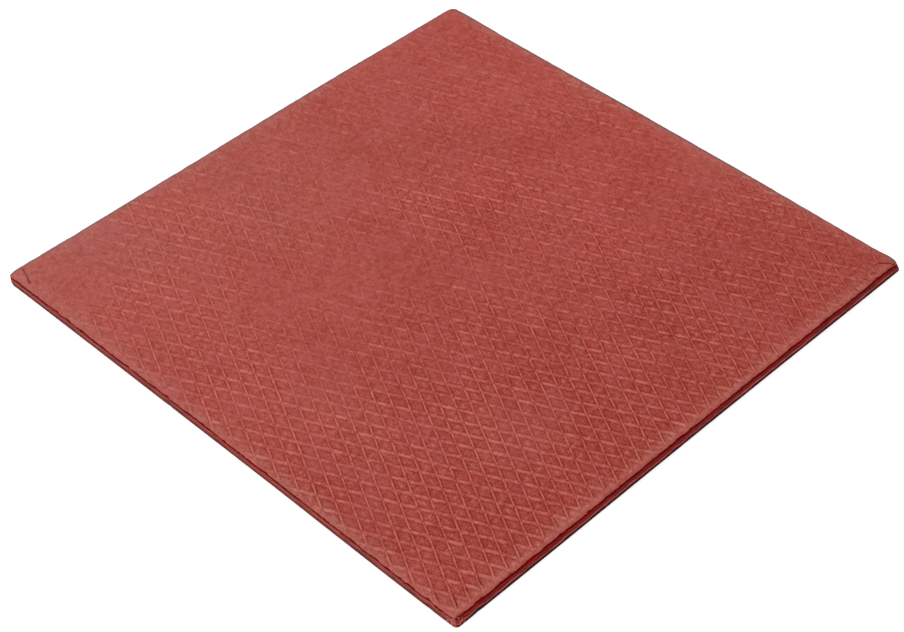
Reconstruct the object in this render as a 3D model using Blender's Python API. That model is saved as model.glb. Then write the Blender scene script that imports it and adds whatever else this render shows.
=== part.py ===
"""A square sheet of soft, heat-conducting silicone, die-cut with rounded corners.

The sheet is one solid. It lies flat on Z = 0 with its centre over the origin, its width along X and
its length along Y. The blade rolls the top edge over into a lip. Below it the wall runs in to a groove,
out to a belly, in again to a shallow seam and out to the foot that the sheet lies on. The wall leans a
little along Y, because the soft sheet is pushed sideways as it is cut.
"""

import math

import bmesh
import bpy

# Overall size of the sheet, in metres
PAD_WIDTH = 0.1000
PAD_LENGTH = 0.1000
PAD_THICKNESS = 0.0020

# Rounded corners of the cut outline
CORNER_RADIUS = 0.0008
CORNER_SEGMENTS = 8

# Section of the cut wall: how far each edge stands in from the widest outline
TOP_EDGE_INSET = 0.00030
GROOVE_INSET = 0.00022
BELLY_INSET = 0.00004
SEAM_INSET = 0.00010

# Heights on the cut wall: the lip and the groove below the top face, and the foot above the base
LIP_DROP = 0.00025
GROOVE_DROP = 0.00055
FOOT_HEIGHT = 0.00060

# How far the top face stands over from the base along Y, because the cut leans
CUT_LEAN = 0.00036

# Filled silicone: its colour in linear light, and its soft sheen
PAD_COLOR = (0.40, 0.090, 0.074, 1.0)
PAD_ROUGHNESS = 0.55
PAD_METALLIC = 0.0


def clear_objects():
    """Remove every object of the open scene."""
    for obj in list(bpy.data.objects):
        bpy.data.objects.remove(obj, do_unlink=True)


def silicone_material():
    """Return the red-brown filled silicone."""
    material = bpy.data.materials.new("filled_silicone")
    material.use_nodes = True
    shader = material.node_tree.nodes["Principled BSDF"]
    shader.inputs["Base Color"].default_value = PAD_COLOR
    shader.inputs["Roughness"].default_value = PAD_ROUGHNESS
    shader.inputs["Metallic"].default_value = PAD_METALLIC
    return material


def wall_section():
    """Return the (height, inset) pairs of the cut wall, from the base up to the top face."""
    lip_height = PAD_THICKNESS - LIP_DROP
    groove_height = PAD_THICKNESS - GROOVE_DROP
    seam_height = (groove_height + FOOT_HEIGHT) / 2
    belly_height = (groove_height + seam_height) / 2
    return [
        (0.0, 0.0),
        (FOOT_HEIGHT, 0.0),
        (seam_height, SEAM_INSET),
        (belly_height, BELLY_INSET),
        (groove_height, GROOVE_INSET),
        (lip_height, 0.0),
        (PAD_THICKNESS, TOP_EDGE_INSET),
    ]


def outline_points(height, inset):
    """Return the cut outline at a height, moved in by inset, as points in anticlockwise order."""
    upright_height = (PAD_THICKNESS - LIP_DROP) / 2
    lean = CUT_LEAN * (height - upright_height) / PAD_THICKNESS
    radius = CORNER_RADIUS - inset
    corner_x = PAD_WIDTH / 2 - CORNER_RADIUS
    corner_y = PAD_LENGTH / 2 - CORNER_RADIUS
    points = []
    for corner, (sign_x, sign_y) in enumerate(((1, 1), (-1, 1), (-1, -1), (1, -1))):
        for step in range(CORNER_SEGMENTS + 1):
            angle = math.radians(90) * (corner + step / CORNER_SEGMENTS)
            x = sign_x * corner_x + radius * math.cos(angle)
            y = sign_y * corner_y + radius * math.sin(angle) + lean
            points.append((x, y, height))
    return points


def add_loop(shape, points):
    """Add a closed loop of edges through the points to the bmesh and return its edges."""
    verts = [shape.verts.new(point) for point in points]
    return [shape.edges.new((start, end)) for start, end in zip(verts, verts[1:] + verts[:1])]


def build_pad():
    """Build the sheet as one closed solid: loops up the cut wall, bridged, with both faces filled."""
    shape = bmesh.new()
    loops = [add_loop(shape, outline_points(height, inset)) for height, inset in wall_section()]
    for lower, upper in zip(loops, loops[1:]):
        bmesh.ops.bridge_loops(shape, edges=lower + upper)
    for face_loop in (loops[0], loops[-1]):
        bmesh.ops.edgeloop_fill(shape, edges=face_loop)
    bmesh.ops.recalc_face_normals(shape, faces=shape.faces)
    mesh = bpy.data.meshes.new("thermal_pad")
    shape.to_mesh(mesh)
    shape.free()
    mesh.materials.append(silicone_material())
    pad = bpy.data.objects.new("thermal_pad", mesh)
    bpy.context.collection.objects.link(pad)
    return pad


def main():
    """Build the whole part."""
    clear_objects()
    build_pad()


if __name__ == "__main__":
    main()
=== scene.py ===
"""A die-cut sheet of filled silicone under plain studio light: its embossed face, cut wall and finish.

The sheet lies flat on Z = 0 with its embossed face up. Every length is in metres, in the frame of the
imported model. Where a function takes x and y, they hold the X and the Y of many points.
"""

import logging
import math
from dataclasses import dataclass
from enum import IntEnum

import bmesh
import bpy
import numpy as np
from mathutils import Matrix, Vector, noise


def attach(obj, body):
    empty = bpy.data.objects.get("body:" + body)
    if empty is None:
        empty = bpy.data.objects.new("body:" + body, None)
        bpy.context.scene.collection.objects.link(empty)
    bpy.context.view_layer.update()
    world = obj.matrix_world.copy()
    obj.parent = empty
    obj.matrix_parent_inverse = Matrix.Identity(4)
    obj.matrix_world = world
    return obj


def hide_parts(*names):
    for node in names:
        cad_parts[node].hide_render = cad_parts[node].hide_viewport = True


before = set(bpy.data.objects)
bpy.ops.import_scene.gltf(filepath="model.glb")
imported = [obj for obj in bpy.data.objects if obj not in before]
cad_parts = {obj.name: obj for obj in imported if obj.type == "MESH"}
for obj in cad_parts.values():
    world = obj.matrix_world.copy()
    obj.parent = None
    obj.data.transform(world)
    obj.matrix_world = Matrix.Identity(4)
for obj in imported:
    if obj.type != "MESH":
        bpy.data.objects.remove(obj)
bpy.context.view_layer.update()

MM = 0.001
SHEET_SIDE = 100 * MM
SHEET_THICKNESS = 2.0 * MM
PAD_NODE = "thermal_pad"
QUARTER_TURN = math.radians(90)
WHITE = (1.0, 1.0, 1.0)

# How far apart the noises of two seeds lie, and the usual factors of a sine that scatters whole numbers
SEED_STRIDE = (17.3, 5.9, 11.7)
SCATTER_A = 12.9898
SCATTER_B = 78.233
SCATTER_GAIN = 43758.5453

Numbers = np.ndarray
Color = tuple[float, float, float]
Span = tuple[float, float]
Shape = bmesh.types.BMesh
Verts = list[bmesh.types.BMVert]
Node = bpy.types.Node
Socket = bpy.types.NodeSocket
Term = Socket | float | Color
log = logging.getLogger("thermal_pad_sheet")


def smooth_step(value: Numbers, low: float, high: float) -> Numbers:
    """Return 0 where value is at low, 1 where it is at high, and a smooth rise between them.

    Args:
        value: The numbers to map.
        low: The value that gives 0.
        high: The value that gives 1; it may be less than low.

    Returns:
        The mapped numbers, from 0 to 1.
    """
    share = np.clip((value - low) / (high - low), 0.0, 1.0)
    return share * share * (3 - 2 * share)


def soft_noise(points: Numbers, grain: float, seed: int) -> Numbers:
    """Return smooth noise at each point.

    Args:
        points: Rows of X, Y and Z.
        grain: The size of the noise's lumps.
        seed: Picks one of many such noises.

    Returns:
        One number for each point, from about -1 to 1.
    """
    shift = Vector(SEED_STRIDE) * seed
    return np.array([noise.noise(Vector(point) / grain + shift) for point in points.tolist()])


def chance(a: Numbers, b: Numbers, seed: int) -> Numbers:
    """Return a number from -1 to 1 that jumps from one pair of whole numbers to the next."""
    wave = np.sin(a * SCATTER_A + b * SCATTER_B + seed) * SCATTER_GAIN
    return 2 * (wave - np.floor(wave)) - 1


def on_plane(x: Numbers, y: Numbers) -> Numbers:
    """Return rows of X, Y and Z for points on Z = 0."""
    return np.column_stack((x, y, np.zeros_like(x)))


@dataclass(frozen=True)
class Lumps:
    """Smooth noise over the sheet: how much it adds, the size of its lumps, and its seed."""

    amount: float
    size: float
    seed: int

    def at(self, points: Numbers) -> Numbers:
        """Return the noise at each point, from about -amount to amount."""
        return self.amount * soft_noise(points, self.size, self.seed)

    def swell(self, points: Numbers, share: Numbers | float = 1.0) -> Numbers:
        """Return a share of the noise at each point, lifted so that it runs from about 0 to amount."""
        return self.amount * share * (0.5 + 0.5 * soft_noise(points, self.size, self.seed))


@dataclass(frozen=True)
class Stretch:
    """How the film had stretched in one direction, as the growth of its diamonds by column and row."""

    by_column: float
    by_row: float
    by_both: float
    column_bend: float
    row_bend: float

    def growth(self, column: Numbers, row: Numbers) -> Numbers:
        """Return how much larger the diamonds are than at the origin."""
        slope = self.by_column * column + self.by_row * row
        return 1 + slope + self.by_both * column * row + self.column_bend * column**2 + self.row_bend * row**2


@dataclass(frozen=True)
class DiamondLattice:
    """The lattice of diamonds that the moulding film pressed into the face, seen from above.

    Two families of lines cross it. A place on it is a pair (a, b): whole numbers of a lie on the broad
    lines, which break at each crossing, and whole numbers of b on the fine ones, which thin out there.
    The film had stretched a little, so the diamonds grow slowly across the sheet.
    """

    origin_x: float = -21.34 * MM
    origin_y: float = -2.72 * MM
    cell_width: float = 2.541 * MM
    cell_length: float = 5.029 * MM
    row_shift: float = 0.099 * MM
    widening: Stretch = Stretch(0.0018, 0.0039, 0.00011, -0.00001, 0.00035)
    lengthening: Stretch = Stretch(0.0018, 0.0049, 0.00017, 0.00003, 0.00012)
    rounds: int = 40

    def plan(self, a: Numbers, b: Numbers) -> tuple[Numbers, Numbers]:
        """Return where places on the lattice lie.

        Args:
            a: Each place's count of broad lines.
            b: Each place's count of fine lines.

        Returns:
            Each place's X and Y.
        """
        column = (a + b) / 2
        row = (a - b) / 2
        across = self.cell_width * column + self.row_shift * row
        x = self.origin_x + across * self.widening.growth(column, row)
        y = self.origin_y + self.cell_length * row * self.lengthening.growth(column, row)
        return x, y

    def place(self, x: Numbers, y: Numbers) -> tuple[Numbers, Numbers]:
        """Return the lattice places of points, found by repeated correction.

        Args:
            x: Each point's X.
            y: Each point's Y.

        Returns:
            Each point's a and b.
        """
        column = np.zeros_like(x)
        row = np.zeros_like(y)
        for _ in range(self.rounds):
            across = (x - self.origin_x) / self.widening.growth(column, row)
            row = (y - self.origin_y) / (self.cell_length * self.lengthening.growth(column, row))
            column = (across - self.row_shift * row) / self.cell_width
        return column + row, column - row


@dataclass(frozen=True)
class Patch:
    """A soft round area of the face where the emboss, or the haze and painted sheen, is stronger or weaker.
    """

    x: float
    y: float
    radius: float
    amount: float

    def weight(self, x: Numbers, y: Numbers) -> Numbers:
        """Return how much the patch adds at points."""
        distance = np.hypot(x - self.x, y - self.y) / self.radius
        return self.amount * np.exp(-distance * distance)


def patches(*rows: tuple[float, float, float, float]) -> tuple[Patch, ...]:
    """Return patches from rows of X, Y and radius, in millimetres, and amount."""
    return tuple(Patch(x * MM, y * MM, radius * MM, amount) for x, y, radius, amount in rows)


@dataclass(frozen=True)
class Crease:
    """A short straight line that the sheet was bent or cut along."""

    start_x: float
    start_y: float
    end_x: float
    end_y: float
    width: float
    depth: float

    @property
    def length(self) -> float:
        """Return the crease's length."""
        return math.hypot(self.end_x - self.start_x, self.end_y - self.start_y)

    def offsets(self, x: Numbers, y: Numbers) -> tuple[Numbers, Numbers]:
        """Return where points lie beside the crease.

        Args:
            x: Each point's X.
            y: Each point's Y.

        Returns:
            How far each point lies from the start along the crease, and how far across it.
        """
        run_x = self.end_x - self.start_x
        run_y = self.end_y - self.start_y
        along = ((x - self.start_x) * run_x + (y - self.start_y) * run_y) / self.length
        across = ((x - self.start_x) * run_y - (y - self.start_y) * run_x) / self.length
        return along, across

    def sink(self, x: Numbers, y: Numbers) -> Numbers:
        """Return how deep the crease lies at points.

        Args:
            x: Each point's X.
            y: Each point's Y.

        Returns:
            The depth at each point.
        """
        along, across = self.offsets(x, y)
        fade = self.width * 2
        ends = smooth_step(along, 0, fade) * smooth_step(along, self.length, self.length - fade)
        return self.depth * ends * np.exp(-(across / self.width) ** 2)

    def distance(self, x: Numbers, y: Numbers) -> Numbers:
        """Return how far points lie from the crease."""
        along, across = self.offsets(x, y)
        return np.hypot(along - np.clip(along, 0.0, self.length), across)


@dataclass(frozen=True)
class SheetCorner:
    """One corner of the sheet: how round the cut left it, and how far handling pressed its face down.

    The radius changes evenly from the foot's to the nose's at half height, and from there to the lip's.
    """

    sign_x: int
    sign_y: int
    foot_radius: float
    nose_radius: float
    lip_radius: float
    press: float
    reach: float = 1.5 * MM

    def radius(self, rise: float) -> float:
        """Return the outline's radius at a height, given as a share of the thickness."""
        return float(np.interp(rise, (0.0, 0.5, 1.0), (self.foot_radius, self.nose_radius, self.lip_radius)))

    def sink(self, x: Numbers, y: Numbers) -> Numbers:
        """Return how far the face is pressed down at points."""
        distance = np.hypot(x - self.sign_x * SHEET_SIDE / 2, y - self.sign_y * SHEET_SIDE / 2) / self.reach
        return self.press * np.exp(-distance * distance)


@dataclass(frozen=True)
class SideLine:
    """One side of the cut, which runs in a little from its straight line because the sheet is soft.

    It holds (place along the side, run-in) pairs, in millimetres.
    """

    outward: tuple[int, int]
    run_in: tuple[Span, ...]

    def inset(self, x: Numbers, y: Numbers) -> Numbers:
        """Return how far the side runs in beside points."""
        places, insets = zip(*self.run_in)
        return np.interp((y if self.outward[0] else x) / MM, places, insets) * MM


@dataclass(frozen=True)
class Nick:
    """A place where the cut runs in from its line."""

    x: float
    y: float
    half_width: float
    depth: float


STRENGTH_PATCHES = patches(
    (-38, -36, 28, 0.42), (6, -43, 26, 0.24), (-14, -19, 15, 0.18), (-27, 34, 11, 0.26), (-42, 19, 13, 0.12),
    (17, 13, 13, 0.26), (40, 36, 16, 0.22), (46, -26, 12, 0.20), (8, 14, 5, 0.24), (18, -6, 10, 0.26),
    (24, -20, 14, 0.22), (34, -44, 12, 0.18), (12, -31, 12, 0.18), (-14, 13, 11, -0.26), (-22, -4, 11, -0.22),
    (10, 30, 14, -0.14), (-45, 43, 12, -0.28), (46, 46, 15, -0.40), (0, 49, 9, -0.20), (26, 46, 12, -0.14),
    (-25, 47, 12, -0.10),
)
# Patches where the pale haze and the painted sheen are stronger
HAZE_AND_SHEEN_PATCHES = patches(
    (-36, 48, 14, 0.28), (-4, 46, 20, 0.14), (-10, 32, 10, 0.12), (-36, -12, 14, 0.14), (-20, -32, 8, 0.24),
    (49, 18, 14, 0.14), (48, -14, 12, 0.14),
)

# Each row holds a crease's start, end, width and depth, in millimetres
CREASES = tuple(Crease(*(value * MM for value in row)) for row in (
    (-47.4, 49.6, -48.9, 45.4, 0.15, 0.14),
    (46.9, -47.7, 49.2, -49.9, 0.16, 0.14),
    (44.5, -48.2, 45.3, -49.4, 0.13, 0.07),
    (42.6, -48.4, 42.7, -49.5, 0.13, 0.07),
    (39.9, -48.4, 39.6, -49.6, 0.13, 0.07),
    (-42.4, -46.8, -43.2, -48.4, 0.12, 0.11),
    (-44.8, -46.8, -45.3, -47.9, 0.12, 0.08),
    (-48.4, -44.3, -49.1, -46.1, 0.12, 0.08),
    (-46.8, -46.4, -48.0, -48.5, 0.12, 0.08),
))
CORNERS = (
    SheetCorner(1, 1, 1.0 * MM, 1.1 * MM, 1.3 * MM, 0.20 * MM),
    SheetCorner(-1, 1, 0.8 * MM, 0.45 * MM, 0.9 * MM, 0.35 * MM, 1.1 * MM),
    SheetCorner(-1, -1, 0.8 * MM, 0.8 * MM, 0.8 * MM, 0.12 * MM),
    SheetCorner(1, -1, 0.35 * MM, 0.4 * MM, 1.3 * MM, 0.50 * MM, 1.6 * MM),
)
SIDES = (
    SideLine((1, 0), ((-48, 0.10), (-45, 0.36), (-40, 0.35), (-30, 0.22), (-20, 0.05), (5, 0.0), (25, 0.12),
                      (36, 0.16), (44, 0.02), (50, 0.0))),
    SideLine((0, 1), ((-50, 0.0), (-44, 0.04), (-36, 0.12), (-20, 0.10), (12, 0.03), (24, 0.07), (34, 0.23),
                      (42, 0.31), (48, 0.38))),
    SideLine((-1, 0), ((-50, 0.12), (-44, 0.06), (-34, 0.07), (-22, 0.13), (-12, 0.19), (10, 0.17),
                       (30, 0.12), (44, 0.07), (50, 0.0))),
    SideLine((0, -1), ((-50, 0.05), (-30, 0.05), (-12, 0.12), (2, 0.16), (20, 0.13), (34, 0.05), (44, 0.0))),
)
NICKS = (
    Nick(50 * MM, -46.4 * MM, 1.4 * MM, 0.10 * MM),
    Nick(-45.6 * MM, -50 * MM, 0.5 * MM, 0.14 * MM),
    Nick(-50 * MM, 10.6 * MM, 0.35 * MM, 0.14 * MM),
    Nick(-50 * MM, -44.8 * MM, 0.45 * MM, 0.12 * MM),
)


@dataclass(frozen=True)
class EmbossedFace:
    """The top face: low ridges along the lattice, faint domes between them, and a rim that rolls over.

    Half widths and reaches of the ridges are shares of a diamond. A span holds where an effect starts
    and where it is full.
    """

    lattice: DiamondLattice = DiamondLattice()

    # The ridges' section
    ridge_height: float = 0.045 * MM
    dome_share: float = 0.22
    broad_half: float = 0.14
    fine_half: float = 0.07
    moat_reach: float = 0.07
    break_span: Span = (0.07, 0.13)

    # How strongly the ridges stand out
    base_strength: float = 0.38
    near_strength: float = 0.24
    near_span: Span = (5 * MM, -60 * MM)
    strength_lumps: Lumps = Lumps(0.28, 11 * MM, 3)
    near_calm: float = 0.4
    broad_lumps: tuple[Lumps, ...] = (Lumps(0.18, 5 * MM, 4), Lumps(0.12, 2.2 * MM, 5))
    fine_lumps: tuple[Lumps, ...] = (Lumps(0.30, 6 * MM, 15), Lumps(0.16, 2.6 * MM, 16))
    broad_chance: float = 0.22
    broad_seed: int = 31
    fine_chance: float = 0.34
    fine_seed: int = 32
    chance_calm: float = 0.7
    crossing_gap: float = 0.45
    crossing_span: Span = (0.18, 0.04)
    fine_fade: float = 0.48
    fine_fade_x: Span = (0.0, 30 * MM)
    fine_fade_y: Span = (-44 * MM, -22 * MM)
    near_fine_share: float = 0.22
    least_strength: float = 0.04
    most_broad: float = 1.0
    most_fine: float = 1.15
    fade_span: Span = (0.2 * MM, 0.9 * MM)

    # The slow ripple of the whole face, and the rim that the blade rolled over
    ripple: Lumps = Lumps(0.030 * MM, 16 * MM, 7)
    sunk_span: Span = (0.3 * MM, 0.9 * MM)
    pucker: Lumps = Lumps(0.018 * MM, 1.3 * MM, 9)
    roll_width: float = 0.55 * MM
    roll_drop: float = 0.25 * MM

    # The pale haze of silicone oil, with painted sheen towards +Y and a painted highlight along the lip of
    # the -X and -Y half
    far_sheen: float = 0.05
    far_sheen_lumps: Lumps = Lumps(2.0, 9 * MM, 13)
    far_sheen_span: Span = (-40 * MM, 30 * MM)
    rim_haze: float = 0.70
    rim_haze_span: Span = (3.4 * MM, 0.4 * MM)
    # A painted highlight along the lip of the -X and -Y half
    lip_highlight: float = 0.30
    lip_highlight_span: Span = (1.3 * MM, 0.2 * MM)
    most_haze: float = 0.95

    # Painted shade and light across the face, and painted grey shade on the rolled edge of the far sides
    dark_y: Span = (15 * MM, -50 * MM)
    dark_rim: Span = (0.4 * MM, 2.6 * MM)
    light_side: float = 0.95
    light_x: Span = (8 * MM, 54 * MM)
    light_y: Span = (-48 * MM, 0 * MM)
    light_edge: float = 1.3
    light_edge_rim: Span = (1.3 * MM, 0.3 * MM)
    far_rim_shade_span: Span = (0.80 * MM, 0.48 * MM)

    def mesh_lines(self, half_width: float, halfway: bool) -> list[float]:
        """Return where the mesh's lines lie within one cell, for ridges of a half width.

        Args:
            half_width: The ridge's half width, as a share of the cell.
            halfway: Whether a line also runs halfway down each flank.

        Returns:
            Shares of the cell, in rising order.
        """
        flank = [half_width / 2, half_width] if halfway else [half_width]
        rise = flank + [half_width + self.moat_reach]
        return [0.0, *rise, 0.5, *[1 - share for share in reversed(rise)]]

    def strengths(self, x: Numbers, y: Numbers, rim: Numbers) -> tuple[Numbers, Numbers]:
        """Return how strongly the broad and the fine ridges stand out.

        Args:
            x: Each point's X.
            y: Each point's Y.
            rim: Each point's distance from the cut.

        Returns:
            The strength of the broad ridges, from 0 to 1, and that of the fine ones, from 0 to 1.15.
        """
        near = smooth_step(x + y, *self.near_span)
        strength = self.base_strength + self.near_strength * near
        for patch in STRENGTH_PATCHES:
            strength += patch.weight(x, y)
        points = on_plane(x, y)
        strength += self.strength_lumps.at(points) * (1 - self.near_calm * near)
        broad = sum((lumps.at(points) for lumps in self.broad_lumps), strength)
        fine = sum((lumps.at(points) for lumps in self.fine_lumps), strength)
        a, b = self.lattice.place(x, y)
        wild = 1 - self.chance_calm * near
        broad *= 1 + self.broad_chance * wild * chance(np.round(a), np.floor(b), self.broad_seed)
        fine *= 1 + self.fine_chance * wild * chance(np.floor(a), np.round(b), self.fine_seed)
        fine *= 1 - self.crossing_gap * smooth_step(np.abs(a - np.round(a)), *self.crossing_span)
        fine *= 1 - self.fine_fade * smooth_step(x, *self.fine_fade_x) * smooth_step(y, *self.fine_fade_y)
        fine *= 1 + self.near_fine_share * near
        inside = smooth_step(rim, *self.fade_span)
        broad = np.clip(broad, self.least_strength, self.most_broad)
        fine = np.clip(fine, self.least_strength, self.most_fine)
        return broad * inside, fine * inside

    def height(self, x: Numbers, y: Numbers, rim: Numbers) -> Numbers:
        """Return the relief of the face, measured from the sheet's full thickness.

        Args:
            x: Each point's X.
            y: Each point's Y.
            rim: Each point's distance from the cut.

        Returns:
            The height of each point, at most 0.
        """
        a, b = self.lattice.place(x, y)
        to_broad = np.abs(a - np.round(a))
        to_fine = np.abs(b - np.round(b))
        broad_strength, fine_strength = self.strengths(x, y, rim)
        broad = smooth_step(to_broad, self.broad_half, 0.0) * smooth_step(to_fine, *self.break_span)
        fine = smooth_step(to_fine, self.fine_half, 0.0)
        ridge = np.minimum(np.maximum(broad * broad_strength, fine * fine_strength), 1.0)
        # The product of the two distances is a quarter in the middle of a diamond
        dome = to_broad * to_fine * 4 * self.dome_share * broad_strength
        sunk = smooth_step(rim, *self.sunk_span)
        points = on_plane(x, y)
        ripple = self.ripple.swell(points)
        pucker = self.pucker.swell(points, 1 - sunk)
        roll = self.roll_drop * np.clip(1 - rim / self.roll_width, 0, 1) ** 2
        drop = self.ridge_height * sunk * (1 - np.maximum(ridge, dome)) + ripple * sunk + pucker + roll
        for mark in CREASES + CORNERS:
            drop = drop + mark.sink(x, y)
        return -drop

    def haze_and_sheen(self, x: Numbers, y: Numbers, rim: Numbers) -> Numbers:
        """Return how much pale haze of silicone oil, painted sheen and painted lip highlight lies on the
        face.

        Args:
            x: Each point's X.
            y: Each point's Y.
            rim: Each point's distance from the cut.

        Returns:
            The share of haze and painted sheen at each point, from 0 to 1.
        """
        lumps = 1 + self.far_sheen_lumps.at(on_plane(x, y))
        # Painted sheen towards +Y
        haze_and_sheen = self.far_sheen * lumps * smooth_step(y, *self.far_sheen_span)
        for patch in HAZE_AND_SHEEN_PATCHES:
            haze_and_sheen += patch.weight(x, y)
        haze_and_sheen += self.rim_haze * smooth_step(rim, *self.rim_haze_span)
        # A painted highlight along the lip on the -X and -Y half
        haze_and_sheen += self.lip_highlight * smooth_step(rim, *self.lip_highlight_span) * (x + y < 0)
        return np.clip(haze_and_sheen, 0.0, self.most_haze)

    def shade(self, x: Numbers, y: Numbers, rim: Numbers) -> Numbers:
        """Return the painted shade towards -Y, and the painted light towards +X and beside the -Y cut.

        Args:
            x: Each point's X.
            y: Each point's Y.
            rim: Each point's distance from the cut.

        Returns:
            The painted shade of each point: above 0 where it is darker, below 0 where it is lighter.
        """
        shade = smooth_step(y, *self.dark_y) * smooth_step(rim, *self.dark_rim)
        shade -= self.light_side * smooth_step(x, *self.light_x) * smooth_step(y, *self.light_y)
        shade -= self.light_edge * smooth_step(rim, *self.light_edge_rim) * (y < -np.abs(x))
        return shade

    def far_rim_shade(self, x: Numbers, y: Numbers, rim: Numbers) -> Numbers:
        """Return how much painted grey shade lies on the rolled edge of the two far sides, from 0 to 1."""
        far = np.maximum(x, y) > np.maximum(-x, -y)
        return far * smooth_step(rim, *self.far_rim_shade_span)


@dataclass(frozen=True)
class CutWall:
    """The wall that the blade left: its outline in plan, and its section from the lip down to the base."""

    width: float = SHEET_SIDE
    length: float = SHEET_SIDE
    thickness: float = SHEET_THICKNESS
    face_radius: float = 1.0 * MM
    least_radius: float = 0.22 * MM
    corner_steps: int = 8
    step: float = 0.34 * MM
    lip_drop: float = 0.25 * MM
    groove_drop: float = 0.55 * MM
    foot_height: float = 0.60 * MM
    groove_inset: float = 0.25 * MM
    belly_inset: float = 0.05 * MM
    seam_inset: float = 0.11 * MM
    base_inset: float = 0.06 * MM
    lean: float = 0.36 * MM

    # The blade's small faults
    tears: Lumps = Lumps(0.8, 1.7 * MM, 21)
    chatter: Lumps = Lumps(0.8, 0.7 * MM, 22)
    ragged_foot: float = 0.02 * MM
    ragged_lip: float = 0.40 * MM
    far_share: float = 0.35
    nick_foot_share: float = 0.4
    fault_reach: float = 1.1 * MM

    def rail(self, height: float, inset: float) -> tuple[Numbers, Numbers]:
        """Return the faultless outline at a height, moved in by inset.

        Args:
            height: How high the outline lies above the base.
            inset: How far it stands in from the widest outline.

        Returns:
            Rows of X and Y, anticlockwise, and rows of unit directions outward.
        """
        arcs = []
        for corner in CORNERS:
            radius = max(corner.radius(height / self.thickness) - inset, self.least_radius)
            center = np.array((corner.sign_x * (self.width / 2 - inset - radius),
                               corner.sign_y * (self.length / 2 - inset - radius)))
            arcs.append((center, radius))
        count = round(self.width / self.step)
        points, outward = [], []
        for index, (center, radius) in enumerate(arcs):
            for turn in range(self.corner_steps + 1):
                angle = QUARTER_TURN * (index + turn / self.corner_steps)
                away = np.array((math.cos(angle), math.sin(angle)))
                points.append(center + away * radius)
                outward.append(away)
            next_center, next_radius = arcs[(index + 1) % len(arcs)]
            start = points[-1]
            run = next_center + away * next_radius - start
            for place in range(1, count):
                points.append(start + run * place / count)
                outward.append(away)
        return np.array(points), np.array(outward)

    def section(self) -> list[Span]:
        """Return the wall's section from the lip down to the base, with a step halfway down each run.

        Returns:
            Pairs of height and inset.
        """
        groove_height = self.thickness - self.groove_drop
        seam_height = (groove_height + self.foot_height) / 2
        turns = [
            (self.thickness - self.lip_drop, 0.0),
            (groove_height, self.groove_inset),
            ((groove_height + seam_height) / 2, self.belly_inset),
            (seam_height, self.seam_inset),
            (self.foot_height, 0.0),
            (0.0, self.base_inset),
        ]
        pairs = turns[:1]
        for (high, high_inset), (low, low_inset) in zip(turns, turns[1:]):
            pairs.append(((high + low) / 2, (high_inset + low_inset) / 2))
            pairs.append((low, low_inset))
        return pairs

    def faults(self, points: Numbers, outward: Numbers, rise: float) -> Numbers:
        """Return how far the blade's faults move the outline in.

        Args:
            points: Rows of X, Y and Z on the faultless outline.
            outward: Rows of unit directions outward.
            rise: The outline's height, as a share of the thickness.

        Returns:
            The move of each point.
        """
        x, y = points[:, 0], points[:, 1]
        ragged = np.maximum(self.tears.at(points), 0) + np.abs(self.chatter.at(points))
        ragged *= np.where(x + y > 0, self.far_share, 1.0)
        faults = (self.ragged_foot + (self.ragged_lip - self.ragged_foot) * rise**2) * ragged
        for side in SIDES:
            facing = np.maximum(outward @ np.array(side.outward), 0.0) ** 2
            faults += facing * side.inset(x, y)
        for nick in NICKS:
            distance = np.hypot(x - nick.x, y - nick.y) / nick.half_width
            share = self.nick_foot_share + (1 - self.nick_foot_share) * rise
            faults += nick.depth * np.exp(-distance * distance) * share
        return faults

    def loop(self, height: float, inset: float) -> Numbers:
        """Return the outline at a height, moved in by inset and by the blade's faults.

        A loop of the top face is not pressed down at the corners here, because the face's relief does it.

        Args:
            height: How high the loop lies above the base.
            inset: How far it stands in from the widest outline.

        Returns:
            Rows of X, Y and Z, anticlockwise.
        """
        flat, _ = self.rail(height, inset)
        widest, outward = self.rail(height, 0.0)
        rise = height / self.thickness
        faults = self.faults(np.column_stack((widest, np.full(len(widest), height))), outward, rise)
        faults *= 1 - inset / self.fault_reach
        flat = flat - outward * faults[:, None] + np.array([0.0, self.shift(height)])
        pressed = sum(corner.sink(flat[:, 0], flat[:, 1]) for corner in CORNERS) * rise * (rise < 1)
        return np.column_stack((flat, height - pressed))

    def shift(self, height: float) -> float:
        """Return how far the leaning cut has moved the outline along Y at a height."""
        upright_height = (self.thickness - self.lip_drop) / 2
        return self.lean * (height - upright_height) / self.thickness

    def rim_distance(self, x: Numbers, y: Numbers) -> Numbers:
        """Return how far points lie inside the top face's outline.

        Args:
            x: Each point's X.
            y: Each point's Y.

        Returns:
            The distance of each point from the outline.
        """
        beyond_x = np.abs(x) - (self.width / 2 - self.face_radius)
        beyond_y = np.abs(y - self.shift(self.thickness)) - (self.length / 2 - self.face_radius)
        outside = np.hypot(np.maximum(beyond_x, 0), np.maximum(beyond_y, 0))
        inside = np.minimum(np.maximum(beyond_x, beyond_y), 0)
        return self.face_radius - outside - inside


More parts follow.
